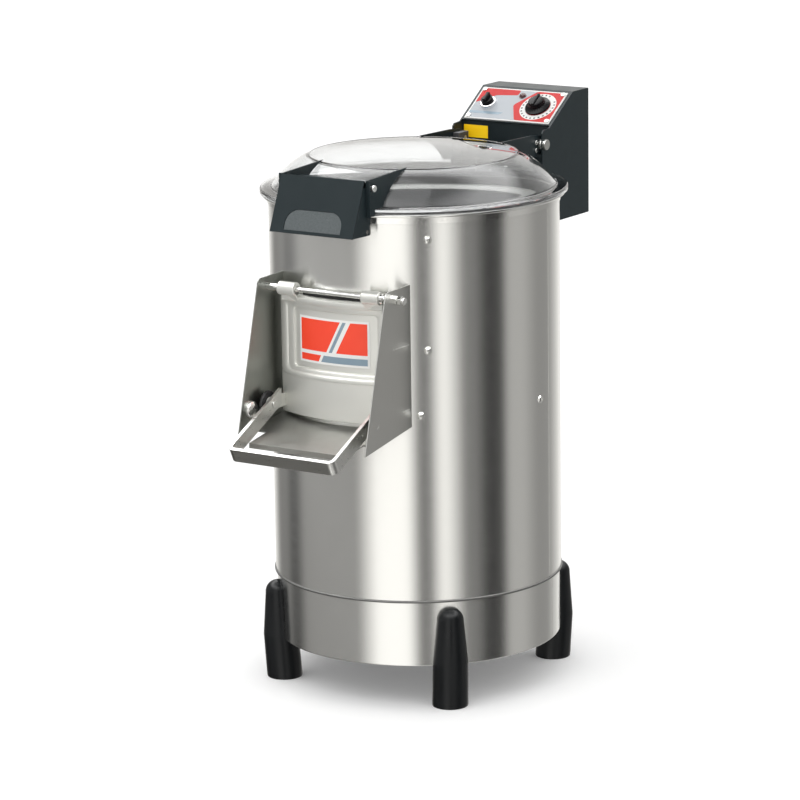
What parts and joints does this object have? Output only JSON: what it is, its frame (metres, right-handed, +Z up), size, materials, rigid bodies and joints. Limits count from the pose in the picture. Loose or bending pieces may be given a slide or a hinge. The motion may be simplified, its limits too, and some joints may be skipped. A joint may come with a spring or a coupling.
{
  "type": "electric potato peeler",
  "caption": "Upright stainless drum peeler with an abrasive disc, clear hinged lid with latch, front discharge door in a chute, rear control box and moulded feet.",
  "frame": {"origin": "on the drum's axis at floor level, centre of the four feet's anchor holes", "axes": "+Z up along the drum; -Y front, towards the discharge chute; +X to the right seen from the front"},
  "size_m": [0.4363, 0.6871, 0.782],
  "materials": {
    "stainless": "brushed stainless sheet, vertical grain on the drum",
    "bright_steel": "bright turned or plated steel",
    "black_plastic": "satin black moulded plastic",
    "black_coat": "dark slate-black powder coat",
    "clear_plastic": "clear moulded polycarbonate",
    "black_rubber": "black rubber",
    "cast_aluminium": "satin cast aluminium",
    "abrasive_casting": "aluminium casting faced with dark abrasive grit",
    "abrasive_lining": "resin-bonded dark abrasive grit",
    "grey_plastic": "grained dark grey plastic",
    "red_panel": "red and silver printed plate",
    "label_film": "printed plastic film",
    "red_lens": "dark red clear plastic",
    "motor_paint": "blue-grey machine paint",
    "cast_iron": "grey cast iron",
    "brass": "turned brass",
    "ivory_plastic": "ivory electrical plastic"
  },
  "bodies": {
    "machine": {"body_shell": "stainless", "base_skirt": "stainless", "rim_ring": "stainless", "drum_liner": "abrasive_lining", "floor_pan": "stainless", "drain_pipe": "stainless", "water_inlet": "brass", "foot_front_right": "black_plastic", "foot_front_left": "black_plastic", "foot_rear_right": "black_plastic", "foot_rear_left": "black_plastic", "foot_bolts": "bright_steel", "liner_screws": "bright_steel", "cheek_right": "stainless", "cheek_left": "stainless", "chute_tray": "stainless", "hinge_rod": "bright_steel", "rod_fittings": "bright_steel", "catch_studs": "bright_steel", "latch_strikes": "bright_steel", "control_box": "black_coat", "box_cover": "black_coat", "box_saddle": "black_coat", "control_panel": "red_panel", "panel_screws": "bright_steel", "switch_bezel": "bright_steel", "switch_body": "black_plastic", "timer_body": "ivory_plastic", "pilot_lamp": "red_lens", "contactor": "ivory_plastic", "cable_gland": "black_plastic", "pivot_bolts": "bright_steel", "motor": "motor_paint", "motor_plate": "motor_paint", "bearing_housing": "cast_iron", "drive_belt": "black_rubber"},
    "lid": {"lid_dome": "clear_plastic", "lid_gasket": "black_rubber", "latch_bracket": "black_coat", "latch_pin": "bright_steel", "hinge_bracket": "black_coat", "hinge_blocks": "cast_aluminium", "lid_screws": "bright_steel"},
    "latch": {"latch_cover": "black_coat", "thumb_pad": "grey_plastic", "catch_bar": "bright_steel"},
    "door": {"door_casting": "cast_aluminium", "door_seal": "black_rubber", "door_label": "label_film", "handle_bolts": "bright_steel", "buffers": "black_rubber"},
    "handle": {"door_handle": "stainless"},
    "disc": {"abrasive_disc": "abrasive_casting", "main_shaft": "bright_steel", "driven_pulley": "cast_iron"},
    "motor_rotor": {"motor_shaft": "bright_steel", "motor_pulley": "cast_iron"},
    "timer": {"timer_knob": "black_plastic"},
    "selector": {"selector_knob": "black_plastic"}
  },
  "joints": [
    {"name": "lid_hinge", "type": "hinge", "parent": "machine", "child": "lid", "pos_m": [0, 0.225, 0.7165], "axis": [-1, 0, 0], "range_deg": [0, 95]},
    {"name": "latch_pull", "type": "hinge", "parent": "lid", "child": "latch", "pos_m": [0, -0.211, 0.718], "axis": [-1, 0, 0], "range_deg": [0, 30], "stiffness_Nm_per_rad": 0.4},
    {"name": "door_swing", "type": "hinge", "parent": "machine", "child": "door", "pos_m": [0, -0.209, 0.571], "axis": [-1, 0, 0], "range_deg": [0, 75]},
    {"name": "handle_lift", "type": "hinge", "parent": "door", "child": "handle", "pos_m": [0, -0.229, 0.414], "axis": [-1, 0, 0], "range_deg": [0, 80]},
    {"name": "disc_spin", "type": "hinge", "parent": "machine", "child": "disc", "pos_m": [0, 0, 0.384], "axis": [0, 0, 1], "continuous": true},
    {"name": "motor_spin", "type": "hinge", "parent": "machine", "child": "motor_rotor", "pos_m": [0, 0.118, 0.141], "axis": [0, 0, 1], "continuous": true},
    {"name": "timer_turn", "type": "hinge", "parent": "machine", "child": "timer", "pos_m": [0.037, 0.27178, 0.76019], "axis": [0, -0.5547, 0.8321], "range_deg": [0, 300]},
    {"name": "selector_turn", "type": "hinge", "parent": "machine", "child": "selector", "pos_m": [-0.044, 0.27012, 0.75908], "axis": [0, -0.5547, 0.8321], "range_deg": [0, 90]}
  ],
  "couplings": [
    {"joint": "motor_spin", "follows": "disc_spin", "ratio": 3.8718}
  ]
}
